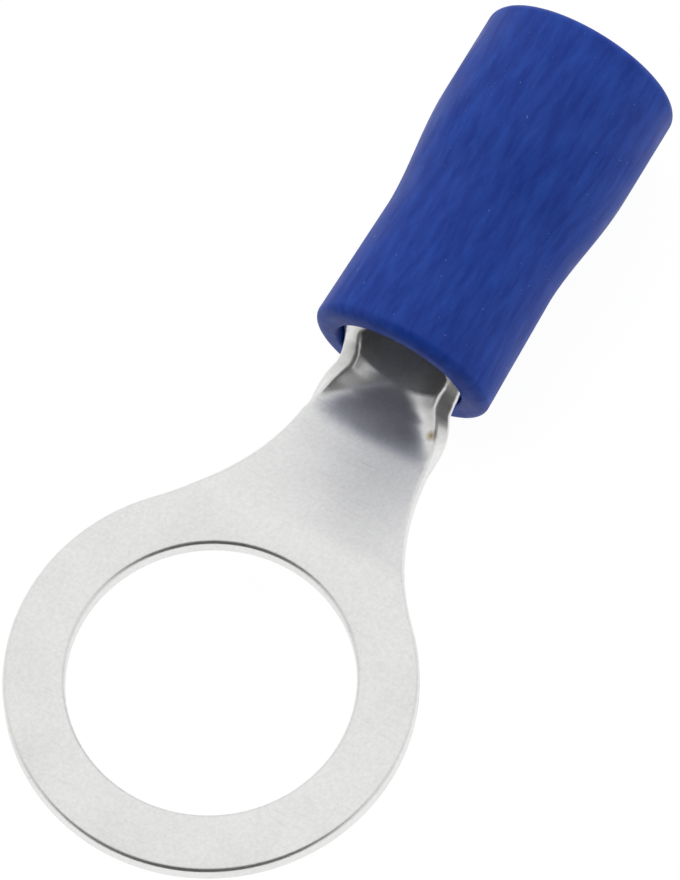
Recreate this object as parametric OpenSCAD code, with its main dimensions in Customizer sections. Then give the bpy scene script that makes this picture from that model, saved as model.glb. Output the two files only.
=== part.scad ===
// Insulated crimp ring terminal for 1.5 to 2.5 mm2 wire and an M8 stud.
// Two pieces: a terminal stamped and rolled from one tinned copper sheet,
// and an insulating sleeve that grips its barrel and opens out for the wire.
// Origin: centre of the stud hole, halfway through the ring.
// +Z runs up out of the hole, +X from the hole to the wire entry.

/* [Ring] */
// Diameter of the stud hole
hole_d = 8.4; // [6.4:0.1:8.8]
// Outer diameter of the ring
ring_d = 12; // [11.6:0.1:14]

/* [Sheet] */
// Thickness of the copper sheet
sheet_t = 0.6; // [0.5:0.05:0.8]
// Radius that tumbling leaves on the edges of the ring and its hole
edge_r = 0.1; // [0.05:0.01:0.15]

/* [Tongue] */
// Width of the tongue between the ring and the barrel
tongue_w = 4.1; // [3.6:0.1:4.6]
// Radius of the hollow curves that lead from the ring into the tongue
flare_r = 8; // [5:0.5:10]
// Distance from the hole's centre to where the tongue starts to step down
joggle_x = 4.9; // [4.7:0.1:5.3]
// How far the step lowers the sheet between the ring and the barrel
joggle_drop = 1; // [0.7:0.05:1.2]
// Length of the bend that starts the step, before the slope eases out
bend_len = 0.6; // [0.4:0.1:1]
// Length of level sheet between the step and the barrel
level_len = 1.7; // [1.4:0.1:2]

/* [Barrel] */
// Distance from the hole's centre to the front face of the barrel
barrel_x = 11.2; // [11:0.1:13]
// Bore of the barrel, which takes the stripped wire
barrel_bore_d = 2.8; // [2.3:0.1:3]
// Length of the barrel
barrel_len = 5; // [4:0.1:6.5]
// Gap left where the two rolled edges of the barrel meet
seam_w = 0.08; // [0.04:0.01:0.2]
// Depth of the bevel that leads the wire into the bore
bore_bevel = 0.15; // [0.05:0.01:0.25]
// Length over which the tongue's sides fold up, ending at the sleeve's lip
curl_len = 1.9; // [1.6:0.1:2.2]
// Radius of the fold where the tongue's sides turn up
fold_r = 1.3; // [0.9:0.1:1.4]
// Radius of the notches between the tongue's edges and the barrel
notch_r = 0.7; // [0.4:0.05:0.9]

/* [Sleeve] */
// Length of the insulating sleeve
sleeve_len = 11; // [10.5:0.1:13]
// How far the sleeve's lip stands ahead of the barrel
lip_lead = 0.25; // [0:0.05:0.4]
// Clearance all round between the barrel and the sleeve
grip_gap = 0.05; // [0.02:0.01:0.1]
// Wall of the sleeve at its waist
sleeve_wall = 0.7; // [0.5:0.05:0.9]
// How much the front rim's radius exceeds the waist's
front_swell = 0.1; // [0:0.02:0.2]
// Diameter of the wire entry
entry_d = 4.6; // [4.4:0.1:5]
// Wall of the sleeve around the wire entry
entry_wall = 0.78; // [0.6:0.02:1]
// Length over which the sleeve widens from its waist to the entry
widen_len = 3.8; // [2.5:0.1:4.5]
// How far ahead of the barrel's rear end the sleeve starts to widen
widen_lead = 1.1; // [0.5:0.1:2]
// Length of the taper inside, from the wire entry to the barrel
taper_len = 2.4; // [1.5:0.1:3]
// Width of the rounding on the front rim
nose_w = 0.4; // [0.2:0.05:0.45]
// Depth of the rounding on the front rim
nose_depth = 0.3; // [0.2:0.05:0.5]
// Radius of the rounding on the rear rim
rim_r = 0.3; // [0.1:0.05:0.4]
// Radius on the sleeve's inner edges at both ends
mouth_r = 0.1; // [0.05:0.01:0.15]

/* [Hidden] */
$fn = 96;

ring_r = ring_d / 2;
hole_r = hole_d / 2;
tongue_r = tongue_w / 2;

// Centre of the hollow curve on the +Y side, which touches ring and tongue
flare_y = tongue_r + flare_r;
flare_x = sqrt(pow(ring_r + flare_r, 2) - pow(flare_y, 2));
// Point where the curve leaves the ring
leave = [flare_x, flare_y] * ring_r / (ring_r + flare_r);

// Length of the step, the share of it that bends, and its steepest slope over its mean slope
joggle_len = barrel_x - level_len - joggle_x;
bend = bend_len / joggle_len;
steepest = 1 / (bend / 2 + (1 - bend) * 2 / PI);

bore_r = barrel_bore_d / 2;
barrel_r = bore_r + sheet_t;
roll_r = bore_r + sheet_t / 2;
axis_z = roll_r - joggle_drop;

grip_r = barrel_r + grip_gap;
waist_r = grip_r + sleeve_wall;
front_r = waist_r + front_swell;
entry_r = entry_d / 2;
rear_r = entry_r + entry_wall;
lip_x = barrel_x - lip_lead;
curl_x = lip_x - curl_len;
grip_len = lip_lead + barrel_len + 2 * mouth_r;
widen_at = lip_lead + barrel_len - widen_lead;

// Thinning of the curled sheet on each side, and how far it is rooted in the barrel's wall
thinning = 0.02;
root_len = 0.3;

// Number of steps in a bend, down the slope, along the curl, round a notch and across the sheet
bend_steps = 6;
slope_steps = 12;
curl_steps = 10;
notch_steps = 6;
cross_steps = 24;

// Soft step from 0 to 1
function ease(u) = u <= 0 ? 0 : u >= 1 ? 1 : u * u * (3 - 2 * u);

// Share of the step's drop at share u of its length: a bend, then a slope that eases out
function drop_share(u) =
    u <= 0 ? 0 :
    u < bend ? steepest * u * u / (2 * bend) :
    u < 1 ? steepest * (bend / 2 + (1 - bend) * 2 / PI * sin(90 * (u - bend) / (1 - bend))) : 1;
function drop_slope(u) =
    u <= 0 || u >= 1 ? 0 :
    u < bend ? steepest * u / bend : steepest * cos(90 * (u - bend) / (1 - bend));

// Share of the curl's length that is behind x
function curl_share(x) = min(max((x - curl_x) / curl_len, 0), 1);

// Middle of the sheet at x, and half its thickness measured upright
function mid_z(x) = -joggle_drop * drop_share((x - joggle_x) / joggle_len);
function slope(x) = joggle_drop / joggle_len * drop_slope((x - joggle_x) / joggle_len);
function half_t(x) = sheet_t / 2 * sqrt(1 + pow(slope(x), 2)) - thinning * curl_share(x);

// Half the width of the flat sheet at x, from the ring to the barrel
function half_w(x) =
    x >= flare_x ? tongue_r : flare_y - sqrt(pow(flare_r, 2) - pow(flare_x - x, 2));

// Points of an elliptical arc about c with radii r
function arc(c, r, from, to, steps) =
    [for (i = [0 : steps]) let (a = from + (to - from) * i / steps) c + [r[0] * cos(a), r[1] * sin(a)]];

// Half the width that is still flat at x, and the radius of the folds beside it
function flat_w(x) = half_w(x) * (1 - curl_share(x));
function turn_r(x) = max(fold_r, roll_r - flat_w(x));

// A point of the formed sheet: w across its middle, n from its middle towards the inside
function formed(x, w, n) =
    let (beside = max(abs(w) - flat_w(x), 0), r = turn_r(x), a = beside / r * 180 / PI)
    [x, sign(w) * (abs(w) - beside + (r - n) * sin(a)), mid_z(x) + r - (r - n) * cos(a)];

// Closed outline of the formed sheet at x, w wide each side
function section(x, w) = concat(
    [for (j = [0 : cross_steps]) formed(x, w * (2 * j / cross_steps - 1), -half_t(x))],
    [for (j = [0 : cross_steps]) formed(x, w * (1 - 2 * j / cross_steps), half_t(x))]);

// Outline of the sheet seen from above: ring, hollow curves and tongue
module sheet_plan() {
    circle(ring_r);
    difference() {
        polygon([[0, 0], [leave[0], -leave[1]], [curl_x, -leave[1]], [curl_x, leave[1]], leave]);
        for (side = [-1, 1])
            translate([flare_x, side * flare_y])
                circle(flare_r, $fn = 192);
    }
}

// Outline of the sheet seen from the side, from the ring to where it starts to curl
module sheet_side() {
    slope_x = joggle_x + bend_len;
    bend_in = [for (i = [0 : bend_steps - 1]) joggle_x + bend_len * i / bend_steps];
    ease_out = [for (i = [0 : slope_steps]) slope_x + (curl_x - slope_x) * i / slope_steps];
    xs = concat([-ring_r - 1], bend_in, ease_out);
    polygon(concat(
        [for (x = xs) [x, mid_z(x) - half_t(x)]],
        [for (i = [len(xs) - 1 : -1 : 0]) [xs[i], mid_z(xs[i]) + half_t(xs[i])]]));
}

// The stamped and stepped flat of the terminal, with its rounded ring
module flat() {
    reach = joggle_drop + sheet_t;
    intersection() {
        rotate([90, 0, 0])
            linear_extrude(2 * ring_r + 2, center = true)
                sheet_side();
        translate([0, 0, -reach])
            linear_extrude(2 * reach)
                sheet_plan();
        union() {
            ring_body();
            translate([leave[0] - edge_r, -ring_r, -reach])
                cube([curl_x, 2 * ring_r, 2 * reach]);
        }
    }
}

// Disc of the ring with its outer edges rounded
module ring_body() {
    rotate_extrude()
        union() {
            translate([0, -sheet_t / 2])
                square([ring_r - edge_r, sheet_t]);
            translate([0, -sheet_t / 2 + edge_r])
                square([ring_r, sheet_t - 2 * edge_r]);
            for (side = [-1, 1])
                translate([ring_r - edge_r, side * (sheet_t / 2 - edge_r)])
                    circle(edge_r);
        }
}

// What the stud hole removes: a bore whose two edges open in a rounding
module stud_hole() {
    cylinder(h = 4 * sheet_t, r = hole_r, center = true);
    rotate_extrude()
        difference() {
            translate([0, -sheet_t])
                square([hole_r + edge_r, 2 * sheet_t]);
            translate([hole_r, -sheet_t / 2 + edge_r])
                square([edge_r, sheet_t - 2 * edge_r]);
            for (side = [-1, 1])
                translate([hole_r + edge_r, side * (sheet_t / 2 - edge_r)])
                    circle(edge_r);
        }
}

// The neck, where the tongue curls up and its notched edges run into the barrel
module neck() {
    curl_stations = [for (i = [0 : curl_steps])
        let (x = curl_x + (barrel_x - notch_r - curl_x) * i / curl_steps) [x, half_w(x)]];
    notch_stations = [for (i = [1 : notch_steps])
        let (a = 90 * i / notch_steps, x = barrel_x - notch_r * (1 - sin(a)))
        [x, half_w(x) + notch_r * (1 - cos(a))]];
    root = [barrel_x + root_len, tongue_r + notch_r];
    stations = concat(curl_stations, notch_stations, [root]);
    count = 2 * cross_steps + 2;
    last = (len(stations) - 1) * count;
    polyhedron(
        points = [for (s = stations) each section(s[0], s[1])],
        faces = concat(
            [for (i = [0 : len(stations) - 2], j = [0 : count - 1])
                [i * count + j, (i + 1) * count + j,
                 (i + 1) * count + (j + 1) % count, i * count + (j + 1) % count]],
            [for (j = [0 : cross_steps - 1]) [j, j + 1, count - 2 - j, count - 1 - j]],
            [for (j = [0 : cross_steps - 1])
                [last + count - 1 - j, last + count - 2 - j, last + j + 1, last + j]]));
}

// Along the axis of the barrel and the sleeve, from x to the rear
module on_axis(x) {
    translate([x, 0, axis_z])
        rotate([0, 90, 0])
            children();
}

// The terminal: ring, tongue, neck and rolled barrel in one sheet
module terminal() {
    color("#c9cbcd")
        difference() {
            union() {
                flat();
                neck();
                on_axis(barrel_x)
                    cylinder(h = barrel_len, r = barrel_r);
            }
            stud_hole();
            on_axis(barrel_x)
                cylinder(h = barrel_len + 1, r = bore_r);
            on_axis(barrel_x + barrel_len - bore_bevel)
                cylinder(h = 2 * bore_bevel, r1 = bore_r, r2 = bore_r + 2 * bore_bevel);
            translate([barrel_x - 1, -seam_w / 2, axis_z])
                cube([barrel_len + 2, seam_w, 2 * barrel_r]);
        }
}

// The sleeve: a tube with a waist over the barrel and a wide wire entry
module insulating_sleeve() {
    widen = [for (i = [0 : 2 * bend_steps]) let (u = i / (2 * bend_steps))
        [waist_r + (rear_r - waist_r) * ease(u), widen_at + widen_len * u]];
    taper = [for (i = [2 * bend_steps : -1 : 0]) let (u = i / (2 * bend_steps))
        [grip_r + (entry_r - grip_r) * ease(u), grip_len + taper_len * u]];
    half_section = concat(
        arc([grip_r + mouth_r, mouth_r], [mouth_r, mouth_r], 180, 270, bend_steps),
        arc([front_r - nose_w, nose_depth], [nose_w, nose_depth], 270, 360, bend_steps),
        widen,
        arc([rear_r - rim_r, sleeve_len - rim_r], [rim_r, rim_r], 0, 90, bend_steps),
        arc([entry_r + mouth_r, sleeve_len - mouth_r], [mouth_r, mouth_r], 90, 180, bend_steps),
        taper);
    color("#2f45a0")
        on_axis(lip_x)
            rotate_extrude()
                polygon(half_section);
}

terminal();
insulating_sleeve();
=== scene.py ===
# Ring terminal with its insulating sleeve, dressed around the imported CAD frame.
import math

import bmesh
import bpy
from mathutils import Matrix, Vector


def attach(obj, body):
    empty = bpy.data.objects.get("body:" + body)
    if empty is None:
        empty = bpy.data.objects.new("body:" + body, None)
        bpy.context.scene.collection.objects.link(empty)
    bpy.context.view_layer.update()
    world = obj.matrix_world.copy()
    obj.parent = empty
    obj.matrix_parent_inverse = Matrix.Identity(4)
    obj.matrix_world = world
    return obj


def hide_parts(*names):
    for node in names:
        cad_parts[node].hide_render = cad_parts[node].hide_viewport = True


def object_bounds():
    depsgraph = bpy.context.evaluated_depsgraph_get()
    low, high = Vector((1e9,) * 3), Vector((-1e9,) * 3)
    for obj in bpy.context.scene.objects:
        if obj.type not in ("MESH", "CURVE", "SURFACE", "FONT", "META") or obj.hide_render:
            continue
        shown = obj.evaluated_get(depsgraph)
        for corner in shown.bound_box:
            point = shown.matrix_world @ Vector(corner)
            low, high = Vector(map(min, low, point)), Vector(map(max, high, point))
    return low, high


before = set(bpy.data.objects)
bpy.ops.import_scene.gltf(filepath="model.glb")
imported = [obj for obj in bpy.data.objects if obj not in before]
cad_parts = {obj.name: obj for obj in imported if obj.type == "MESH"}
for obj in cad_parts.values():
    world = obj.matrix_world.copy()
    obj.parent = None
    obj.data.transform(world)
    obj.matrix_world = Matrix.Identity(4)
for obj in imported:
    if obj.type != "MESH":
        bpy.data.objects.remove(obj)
cadLow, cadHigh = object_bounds()
mm = 0.001  # the meshes are made in millimetres and shrunk at the end
print("frame loaded")


def turnedDirection(azimuth, elevation):
    # azimuth runs from +X towards +Y
    a = math.radians(azimuth)
    e = math.radians(elevation)
    return Vector((math.cos(a) * math.cos(e), math.sin(a) * math.cos(e), math.sin(e)))


# Shaders


def newMaterial(name):
    material = bpy.data.materials.new(name)
    material.use_nodes = True
    return material, material.node_tree.nodes["Principled BSDF"]


def addNode(material, kind, inputs=None, **settings):
    node = material.node_tree.nodes.new(kind)
    for key, value in settings.items():
        setattr(node, key, value)
    for key, value in (inputs or {}).items():
        node.inputs[key].default_value = value
    return node


def link(material, fromSocket, toSocket):
    material.node_tree.links.new(fromSocket, toSocket)


def objectPoint(material, stretch=(1, 1, 1), turn=(0, 0, 0), shift=(0, 0, 0)):
    # object coordinates in millimetres, stretched along an axis for streaks
    source = addNode(material, "ShaderNodeTexCoord")
    mapping = addNode(material, "ShaderNodeMapping")
    mapping.inputs["Scale"].default_value = [s / mm for s in stretch]
    mapping.inputs["Rotation"].default_value = [math.radians(t) for t in turn]
    mapping.inputs["Location"].default_value = shift
    link(material, source.outputs["Object"], mapping.inputs["Vector"])
    return mapping.outputs["Vector"]


def noiseValue(material, point, scale, detail=3, roughness=0.5, distortion=0):
    texture = addNode(material, "ShaderNodeTexNoise")
    texture.inputs["Scale"].default_value = scale
    texture.inputs["Detail"].default_value = detail
    texture.inputs["Roughness"].default_value = roughness
    texture.inputs["Distortion"].default_value = distortion
    link(material, point, texture.inputs["Vector"])
    return texture.outputs["Fac"]


def remap(material, value, low, high, toLow, toHigh):
    node = addNode(material, "ShaderNodeMapRange", clamp=True)
    node.inputs["From Min"].default_value = low
    node.inputs["From Max"].default_value = high
    node.inputs["To Min"].default_value = toLow
    node.inputs["To Max"].default_value = toHigh
    link(material, value, node.inputs["Value"])
    return node.outputs["Result"]


def mixColour(material, share, first, second):
    node = addNode(material, "ShaderNodeMix", data_type="RGBA")
    for name, value in (("Factor", share), ("A", first), ("B", second)):
        socket = node.inputs[name]
        if isinstance(value, bpy.types.NodeSocket):
            link(material, value, socket)
        else:
            socket.default_value = value
    return node.outputs["Result"]


def rgb(red, green, blue):
    return (red, green, blue, 1)


def nearTo(material, point, centre, radius):
    # 1 at the centre, falling to 0 at the radius
    node = addNode(material, "ShaderNodeVectorMath", operation="DISTANCE")
    node.inputs[1].default_value = centre
    link(material, point, node.inputs[0])
    return remap(material, node.outputs["Value"], 0, radius, 1, 0)


def finishMesh(bm, name, material, nodes):
    # millimetres to metres, smooth faces, and the piece rides on the frame
    bmesh.ops.scale(bm, vec=(mm, mm, mm), verts=bm.verts)
    for face in bm.faces:
        face.smooth = True
    mesh = bpy.data.meshes.new(name)
    bm.to_mesh(mesh)
    bm.free()
    mesh.materials.append(material)
    piece = bpy.data.objects.new(name, mesh)
    bpy.context.scene.collection.objects.link(piece)
    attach(piece, "root")
    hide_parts(*nodes)
    return piece


# Terminal: one sheet, stamped flat, then stepped and rolled

terminalSizes = {
    "ringRadius": 6.0,
    "holeRadius": 4.2,
    "sheet": 0.6,
    "edgeRadius": 0.14,
    "tongueWidth": 4.1,
    "flareRadius": 8.0,
    "stepStart": 4.9,
    "stepDrop": 1.0,
    "lateDrop": 0.3,  # part of the drop that comes near the barrel's mouth
    "lateStart": 8.8,
    "lateLength": 2.2,
    "bendLength": 0.6,
    "levelLength": 1.7,
    "barrelFront": 11.2,
    "barrelLength": 5.0,
    "bore": 1.4,
    "seam": 0.08,
    "curlLength": 1.9,  # ends at the sleeve's lip
    "lipLead": 0.25,
    "foldRadius": 1.3,
    "foldSoftness": 0.9,
    "notchRadius": 0.7,
}


def ease(share):
    share = min(max(share, 0), 1)
    return share * share * (3 - 2 * share)


def dropShare(share, bend):
    # a bend, then a slope that eases out
    if share <= 0 or share >= 1:
        return 0 if share <= 0 else 1
    steepest = 1 / (bend / 2 + (1 - bend) * 2 / math.pi)
    if share < bend:
        return steepest * share * share / (2 * bend)
    eased = math.sin(math.pi / 2 * (share - bend) / (1 - bend))
    return steepest * (bend / 2 + (1 - bend) * 2 / math.pi * eased)


def halfWidth(sizes, x):
    # half the width of the tongue at x, hollow curves included
    flare = sizes["flareRadius"]
    flareY = sizes["tongueWidth"] / 2 + flare
    flareX = math.sqrt((sizes["ringRadius"] + flare) ** 2 - flareY**2)
    return flareY - math.sqrt(flare**2 - max(flareX - x, 0) ** 2)


def turnedBy(w, level, radius, soft):
    # how far the sheet has turned at w, where the fold sets in softly beside its level part
    if soft < 0.01:
        return max(w - level, 0) / radius
    share = min(max((w - level + soft) / (2 * soft), 0), 1)
    return ((share**3 - share**4 / 2) * 2 * soft + max(w - level - soft, 0)) / radius


def formedPoint(sizes, x, w, n):
    # the flat sheet's point, w across and n above its middle, once stepped and rolled
    rollRadius = sizes["bore"] + sizes["sheet"] / 2
    stepLength = sizes["barrelFront"] - sizes["levelLength"] - sizes["stepStart"]
    bend = sizes["bendLength"] / stepLength
    early = sizes["stepDrop"] - sizes["lateDrop"]
    late = sizes["lateDrop"] * ease((x - sizes["lateStart"]) / sizes["lateLength"])
    middle = -early * dropShare((x - sizes["stepStart"]) / stepLength, bend) - late
    lip = sizes["barrelFront"] - sizes["lipLead"]
    share = (x - lip) / sizes["curlLength"] + 1
    if share <= 0:
        return Vector((x, w, middle + n))
    level = halfWidth(sizes, x) * (1 - min(share, 1))
    radius = max(sizes["foldRadius"], rollRadius - level)
    soft = min(sizes["foldSoftness"], level)
    start = min(abs(w), level - soft)
    across = start
    rise = 0
    count = 24
    stride = (abs(w) - start) / count
    for i in range(count):
        angle = turnedBy(start + (i + 0.5) * stride, level, radius, soft)
        across += stride * math.cos(angle)
        rise += stride * math.sin(angle)
    angle = turnedBy(abs(w), level, radius, soft)
    across -= n * math.sin(angle)
    return Vector((x, math.copysign(across, w), middle + rise + n * math.cos(angle)))


def extrudedTo(bm, vert, x, y):
    new = bmesh.ops.extrude_vert_indiv(bm, verts=[vert])["verts"][0]
    new.co = (x, y, 0)
    return new


def spunAbout(bm, vert, x, y, degrees, steps):
    spun = bmesh.ops.spin(
        bm,
        geom=[vert],
        cent=(x, y, 0),
        axis=(0, 0, 1),
        dvec=(0, 0, 0),
        angle=math.radians(degrees),
        steps=steps,
    )
    return [item for item in spun["geom_last"] if isinstance(item, bmesh.types.BMVert)][0]


def halfBlank(sizes):
    # outline of the blank on its +Y side, from the ring's far end round to the hole
    bm = bmesh.new()
    ring = sizes["ringRadius"]
    flare = sizes["flareRadius"]
    halfTongue = sizes["tongueWidth"] / 2
    flareY = halfTongue + flare
    flareX = math.sqrt((ring + flare) ** 2 - flareY**2)
    leaveAngle = math.degrees(math.atan2(flareY, flareX))
    notch = sizes["notchRadius"]
    front = sizes["barrelFront"]
    rear = front + sizes["barrelLength"]
    rollRadius = sizes["bore"] + sizes["sheet"] / 2
    wing = rollRadius * math.pi - sizes["seam"] / 2

    first = bmesh.ops.create_vert(bm, co=(-ring, 0, 0))["vert"][0]
    at = spunAbout(bm, first, 0, 0, leaveAngle - 180, 110)
    at = spunAbout(bm, at, flareX, flareY, 90 - leaveAngle, 40)
    at = extrudedTo(bm, at, front - notch, halfTongue)
    at = spunAbout(bm, at, front - notch, halfTongue + notch, 90, 10)
    at = extrudedTo(bm, at, front, wing)
    at = extrudedTo(bm, at, rear, wing)
    at = extrudedTo(bm, at, rear, 0)
    at = extrudedTo(bm, at, sizes["holeRadius"], 0)
    spunAbout(bm, at, 0, 0, 180, 140)
    bmesh.ops.remove_doubles(bm, verts=bm.verts, dist=1e-5)
    loose = [v for v in bm.verts if len(v.link_edges) == 1]
    bmesh.ops.contextual_create(bm, geom=loose)
    bmesh.ops.contextual_create(bm, geom=bm.edges[:])
    return bm


def cutAcross(bm, axis, places):
    normal = Vector((axis == "x", axis == "y", 0))
    for place in places:
        bmesh.ops.bisect_plane(
            bm,
            geom=bm.verts[:] + bm.edges[:] + bm.faces[:],
            dist=1e-4,
            plane_co=normal * place,
            plane_no=normal,
        )


def steps(start, end, count):
    return [start + (end - start) * i / count for i in range(count + 1)]


def makeTerminal(sizes):
    bm = halfBlank(sizes)
    half = sizes["sheet"] / 2
    bmesh.ops.mirror(bm, geom=bm.verts[:] + bm.edges[:] + bm.faces[:], axis="Y", merge_dist=1e-4)
    bmesh.ops.recalc_face_normals(bm, faces=bm.faces)
    if bm.faces[0].normal.z < 0:
        bmesh.ops.reverse_faces(bm, faces=bm.faces)
    bmesh.ops.translate(bm, vec=(0, 0, half), verts=bm.verts)
    made = bmesh.ops.extrude_face_region(bm, geom=bm.faces[:])
    lower = [item for item in made["geom"] if isinstance(item, bmesh.types.BMVert)]
    bmesh.ops.translate(bm, vec=(0, 0, -2 * half), verts=lower)
    bmesh.ops.recalc_face_normals(bm, faces=bm.faces)
    rims = [e for e in bm.edges if len(e.link_faces) == 2 and e.calc_face_angle(0) > math.radians(60)]
    rims = [e for e in rims if abs(e.verts[0].co.z - e.verts[1].co.z) < half]
    bmesh.ops.bevel(
        bm, geom=rims, offset=sizes["edgeRadius"], affect="EDGES", segments=5, profile=0.5, material=-1
    )
    print("terminal blank:", len(bm.faces), "faces")
    start = sizes["stepStart"]
    front = sizes["barrelFront"]
    curlStart = front - sizes["lipLead"] - sizes["curlLength"]
    rear = front + sizes["barrelLength"]
    cutAcross(bm, "x", steps(start, curlStart, 22))
    cutAcross(bm, "x", steps(curlStart, front, 26)[1:])
    cutAcross(bm, "x", steps(front + 0.3, rear - 0.3, 6))
    cutAcross(bm, "y", steps(-5.2, 5.2, 64))
    for vert in bm.verts:
        vert.co = formedPoint(sizes, *vert.co)
    return bm


tinLook = {
    "dull": (0.80, 0.80, 0.79),
    "bright": (0.90, 0.90, 0.89),
    "smoothest": 0.30,
    "roughest": 0.40,
    "spotAt": (9.9, -1.85),  # along the blank and across it
    "spotRadius": 0.22,
    "brownSpot": (0.30, 0.22, 0.08),
}


def tinnedCopper(look, sizes):
    material, shader = newMaterial("tinnedCopper")
    point = objectPoint(material)
    grain = noiseValue(material, point, 9, 4, 0.6)
    cloud = noiseValue(material, point, 0.5, 3, 0.5)
    scratches = noiseValue(material, objectPoint(material, (9, 0.5, 1)), 1.6, 3, 0.6)
    shader.inputs["Metallic"].default_value = 1
    shade = remap(material, grain, 0.3, 0.7, 0, 1)
    plain = mixColour(material, shade, rgb(*look["dull"]), rgb(*look["bright"]))
    worn = remap(material, scratches, 0.62, 0.74, 0, 0.35)
    scratched = mixColour(material, worn, plain, rgb(0.6, 0.6, 0.6))
    # a small brown spot on the tongue beside the barrel's mouth, mixed over the plain tin
    centre = formedPoint(sizes, *look["spotAt"], sizes["sheet"] / 2)
    spotted = nearTo(material, point, centre, look["spotRadius"])
    link(material, mixColour(material, spotted, scratched, rgb(*look["brownSpot"])), shader.inputs["Base Color"])
    link(
        material,
        remap(material, cloud, 0.3, 0.7, look["smoothest"], look["roughest"]),
        shader.inputs["Roughness"],
    )
    bump = addNode(material, "ShaderNodeBump")
    bump.inputs["Strength"].default_value = 0.12
    bump.inputs["Distance"].default_value = 0.02 * mm
    link(material, grain, bump.inputs["Height"])
    link(material, bump.outputs["Normal"], shader.inputs["Normal"])
    return material


terminalPiece = finishMesh(
    makeTerminal(terminalSizes),
    "terminalSheet",
    tinnedCopper(tinLook, terminalSizes),
    ["terminal"],
)
weighted = terminalPiece.modifiers.new("evenShading", "WEIGHTED_NORMAL")
weighted.weight = 80
print("terminal made:", len(terminalPiece.data.polygons), "faces")

# Sleeve: a waisted tube, spun about the barrel's axis

sleeveSizes = {
    "lip": 10.95,
    "axisHeight": 0.7,
    "length": 11.0,
    "lipLean": 0.06,  # the top of the lip stands further forward than its bottom
    "gripRadius": 2.05,
    "frontRadius": 2.85,
    "waistRadius": 2.75,
    "rearRadius": 3.08,
    "entryRadius": 2.3,
    "noseWidth": 0.4,
    "noseDepth": 0.3,
    "rimRadius": 0.3,
    "mouthRadius": 0.1,
    "widenAt": 4.15,
    "widenLength": 3.8,
    "gripLength": 5.45,
    "taperLength": 2.4,
}


def makeSleeve(sizes):
    # the wall's outline lies in the XY plane, x along the sleeve and y its radius
    bm = bmesh.new()
    grip = sizes["gripRadius"]
    mouth = sizes["mouthRadius"]
    rim = sizes["rimRadius"]
    length = sizes["length"]
    first = bmesh.ops.create_vert(bm, co=(mouth, grip, 0))["vert"][0]
    at = first
    for i in range(1, 7):  # inner edge of the lip
        a = math.radians(15 * i)
        at = extrudedTo(bm, at, mouth - mouth * math.sin(a), grip + mouth - mouth * math.cos(a))
    flat = sizes["frontRadius"] - sizes["noseWidth"]
    for i in range(0, 9):  # nose of the lip
        a = math.radians(90 * i / 8)
        at = extrudedTo(
            bm, at, sizes["noseDepth"] * (1 - math.cos(a)), flat + sizes["noseWidth"] * math.sin(a)
        )
    for share in steps(0, 1, 16):  # waist, opening towards the rear
        radius = sizes["waistRadius"] + (sizes["rearRadius"] - sizes["waistRadius"]) * ease(share)
        at = extrudedTo(bm, at, sizes["widenAt"] + sizes["widenLength"] * share, radius)
    at = extrudedTo(bm, at, length - rim, sizes["rearRadius"])
    at = spunAbout(bm, at, length - rim, sizes["rearRadius"] - rim, -90, 8)
    at = extrudedTo(bm, at, length, sizes["entryRadius"] + mouth)
    at = spunAbout(bm, at, length - mouth, sizes["entryRadius"] + mouth, -90, 6)
    for share in steps(1, 0, 12):
        radius = grip + (sizes["entryRadius"] - grip) * ease(share)
        at = extrudedTo(bm, at, sizes["gripLength"] + sizes["taperLength"] * share, radius)
    bmesh.ops.contextual_create(bm, geom=[at, first])
    bmesh.ops.remove_doubles(bm, verts=bm.verts, dist=1e-5)
    bmesh.ops.spin(
        bm,
        geom=bm.verts[:] + bm.edges[:],
        cent=(0, 0, 0),
        axis=(1, 0, 0),
        dvec=(0, 0, 0),
        angle=2 * math.pi,
        steps=144,
        use_merge=True,
    )
    bmesh.ops.remove_doubles(bm, verts=bm.verts, dist=1e-5)
    bmesh.ops.recalc_face_normals(bm, faces=bm.faces)
    for vert in bm.verts:
        vert.co.x -= sizes["lipLean"] * vert.co.z * max(1 - vert.co.x, 0)
    bmesh.ops.translate(bm, vec=(sizes["lip"], 0, sizes["axisHeight"]), verts=bm.verts)
    return bm


vinylLook = {
    "deep": (0.008, 0.045, 0.36),
    "light": (0.020, 0.085, 0.50),
    "smoothest": 0.42,
    "roughest": 0.58,
    "shine": 0.22,
}


def blueVinyl(look):
    material, shader = newMaterial("blueVinyl")
    point = objectPoint(material)
    streaks = noiseValue(material, objectPoint(material, (0.25, 1, 1)), 3, 4, 0.6)
    cloud = noiseValue(material, point, 0.6, 3, 0.5)
    dust = noiseValue(material, point, 7, 2, 0.5)
    tone = remap(material, streaks, 0.35, 0.7, 0, 1)
    vinyl = mixColour(material, tone, rgb(*look["deep"]), rgb(*look["light"]))
    specks = remap(material, dust, 0.72, 0.78, 0, 0.35)
    link(material, mixColour(material, specks, vinyl, rgb(0.3, 0.4, 0.7)), shader.inputs["Base Color"])
    link(
        material,
        remap(material, cloud, 0.3, 0.7, look["smoothest"], look["roughest"]),
        shader.inputs["Roughness"],
    )
    shader.inputs["Specular IOR Level"].default_value = look["shine"]
    bump = addNode(material, "ShaderNodeBump")
    bump.inputs["Strength"].default_value = 0.12
    bump.inputs["Distance"].default_value = 0.03 * mm
    link(material, streaks, bump.inputs["Height"])
    link(material, bump.outputs["Normal"], shader.inputs["Normal"])
    return material


sleevePiece = finishMesh(
    makeSleeve(sleeveSizes),
    "insulatingSleeve",
    blueVinyl(vinylLook),
    ["insulating_sleeve"],
)
print("sleeve made:", len(sleevePiece.data.polygons), "faces")

# Floor

floorSizes = {"side": 600 * mm, "colour": 0.9, "shadowShare": 0.12, "glow": 1.08}


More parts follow.
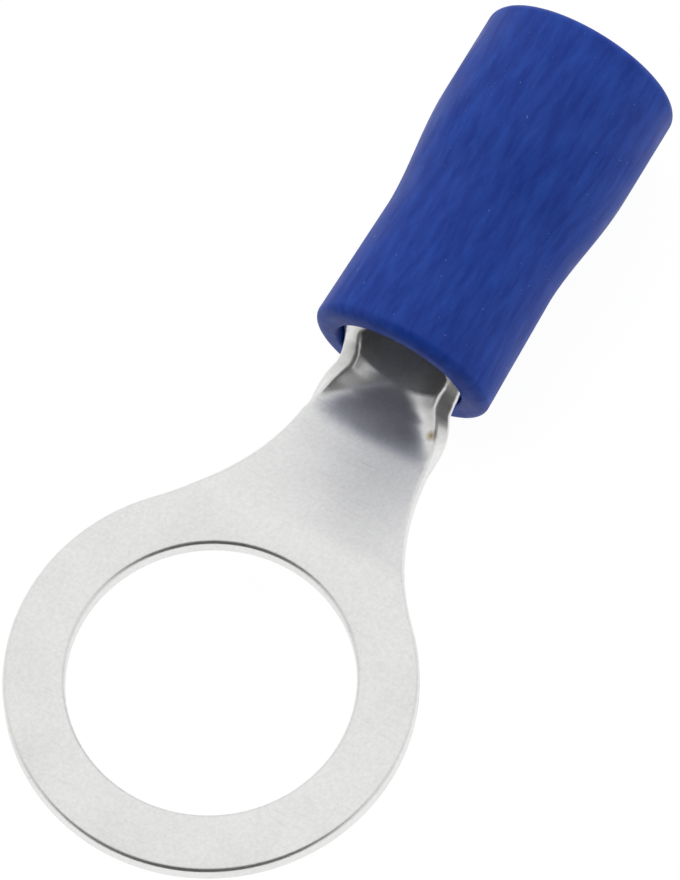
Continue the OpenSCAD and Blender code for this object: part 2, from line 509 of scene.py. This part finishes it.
def makeFloor(sizes, height):
    bm = bmesh.new()
    bmesh.ops.create_grid(bm, x_segments=1, y_segments=1, size=sizes["side"])
    bmesh.ops.translate(bm, vec=(0, 0, height), verts=bm.verts)
    mesh = bpy.data.meshes.new("floor")
    bm.to_mesh(mesh)
    bm.free()
    floor = bpy.data.objects.new("floor", mesh)
    bpy.context.scene.collection.objects.link(floor)
    material, shader = newMaterial("whiteFloor")
    shader.inputs["Base Color"].default_value = rgb(*[sizes["colour"]] * 3)
    shader.inputs["Roughness"].default_value = 0.9
    shader.inputs["Specular IOR Level"].default_value = 0
    glow = addNode(material, "ShaderNodeEmission", {"Strength": sizes["glow"]})
    path = addNode(material, "ShaderNodeLightPath")
    seen = addNode(material, "ShaderNodeMath", operation="MAXIMUM")
    seenToo = addNode(material, "ShaderNodeMath", operation="MAXIMUM")
    share = addNode(material, "ShaderNodeMath", operation="MULTIPLY")
    share.inputs[1].default_value = 1 - sizes["shadowShare"]
    link(material, path.outputs["Is Camera Ray"], seen.inputs[0])
    link(material, path.outputs["Is Glossy Ray"], seen.inputs[1])
    link(material, seen.outputs[0], seenToo.inputs[0])
    link(material, path.outputs["Is Transmission Ray"], seenToo.inputs[1])
    link(material, seenToo.outputs[0], share.inputs[0])
    mix = addNode(material, "ShaderNodeMixShader")
    link(material, share.outputs[0], mix.inputs["Fac"])
    link(material, shader.outputs["BSDF"], mix.inputs[1])
    link(material, glow.outputs["Emission"], mix.inputs[2])
    # seen from below, the floor lets the underside show
    clear = addNode(material, "ShaderNodeBsdfTransparent")
    side = addNode(material, "ShaderNodeNewGeometry")
    below = addNode(material, "ShaderNodeMixShader")
    link(material, side.outputs["Backfacing"], below.inputs["Fac"])
    link(material, mix.outputs["Shader"], below.inputs[1])
    link(material, clear.outputs["BSDF"], below.inputs[2])
    link(material, below.outputs["Shader"], material.node_tree.nodes["Material Output"].inputs["Surface"])
    mesh.materials.append(material)
    return floor


makeFloor(floorSizes, cadLow.z)
print("floor made")

# Lamps and world

lamps = {
    "keyPanel": {"azimuth": 35, "elevation": 62, "distance": 0.5, "side": 0.7, "radiance": 0.12},
}
worldLevel = 0.82
darkCard = {"azimuth": 200, "elevation": 38, "distance": 0.5, "side": 0.5, "colour": 0.14}
middle = (cadLow + cadHigh) / 2

for name, lamp in lamps.items():
    data = bpy.data.lights.new(name, "AREA")
    data.shape = "SQUARE"
    data.size = lamp["side"]
    data.energy = lamp["radiance"] * math.pi * lamp["side"] ** 2
    panel = bpy.data.objects.new(name, data)
    away = turnedDirection(lamp["azimuth"], lamp["elevation"])
    panel.location = middle + away * lamp["distance"]
    panel.rotation_mode = "QUATERNION"
    panel.rotation_quaternion = away.to_track_quat("Z", "Y")
    panel.visible_camera = False
    bpy.context.scene.collection.objects.link(panel)


def makeCard(sizes):
    # dark card that the metal's rounded edges mirror
    bm = bmesh.new()
    bmesh.ops.create_grid(bm, x_segments=1, y_segments=1, size=sizes["side"])
    away = turnedDirection(sizes["azimuth"], sizes["elevation"])
    bmesh.ops.transform(bm, matrix=away.to_track_quat("Z", "Y").to_matrix().to_4x4(), verts=bm.verts)
    bmesh.ops.translate(bm, vec=middle + away * sizes["distance"], verts=bm.verts)
    mesh = bpy.data.meshes.new("darkCard")
    bm.to_mesh(mesh)
    bm.free()
    card = bpy.data.objects.new("darkCard", mesh)
    bpy.context.scene.collection.objects.link(card)
    material, shader = newMaterial("darkPaper")
    shader.inputs["Base Color"].default_value = rgb(*[sizes["colour"]] * 3)
    shader.inputs["Specular IOR Level"].default_value = 0
    mesh.materials.append(material)
    card.visible_camera = False


makeCard(darkCard)

world = bpy.data.worlds.new("studio")
world.use_nodes = True
world.node_tree.nodes["Background"].inputs["Color"].default_value = rgb(1, 1, 1)
world.node_tree.nodes["Background"].inputs["Strength"].default_value = worldLevel
bpy.context.scene.world = world
print("lamps placed")

# Camera

cameraView = {
    "azimuth": 214.309,
    "elevation": 66.274,
    "roll": -5.046,
    "distance": 400 * mm,
    "lens": 569.2,
    "aimRight": 3.6932 * mm,
    "aimUp": 7.0778 * mm,
    "aimHeight": -0.3 * mm,
}


def placeCamera(view):
    data = bpy.data.cameras.new("camera")
    data.lens = view["lens"]
    data.sensor_width = 36
    data.clip_start = 0.01
    data.clip_end = 5
    camera = bpy.data.objects.new("camera", data)
    back = turnedDirection(view["azimuth"], view["elevation"])
    flatRight = (-back).cross(Vector((0, 0, 1))).normalized()
    flatUp = flatRight.cross(-back)
    roll = math.radians(view["roll"])
    right = math.cos(roll) * flatRight + math.sin(roll) * flatUp
    up = math.cos(roll) * flatUp - math.sin(roll) * flatRight
    aim = right * view["aimRight"] + up * view["aimUp"] + Vector((0, 0, view["aimHeight"]))
    place = Matrix((right, up, back)).transposed().to_4x4()
    place.translation = aim + back * view["distance"]
    camera.matrix_world = place
    bpy.context.scene.collection.objects.link(camera)
    bpy.context.scene.camera = camera


placeCamera(cameraView)
bpy.context.scene.view_settings.view_transform = "Standard"
print("camera placed")
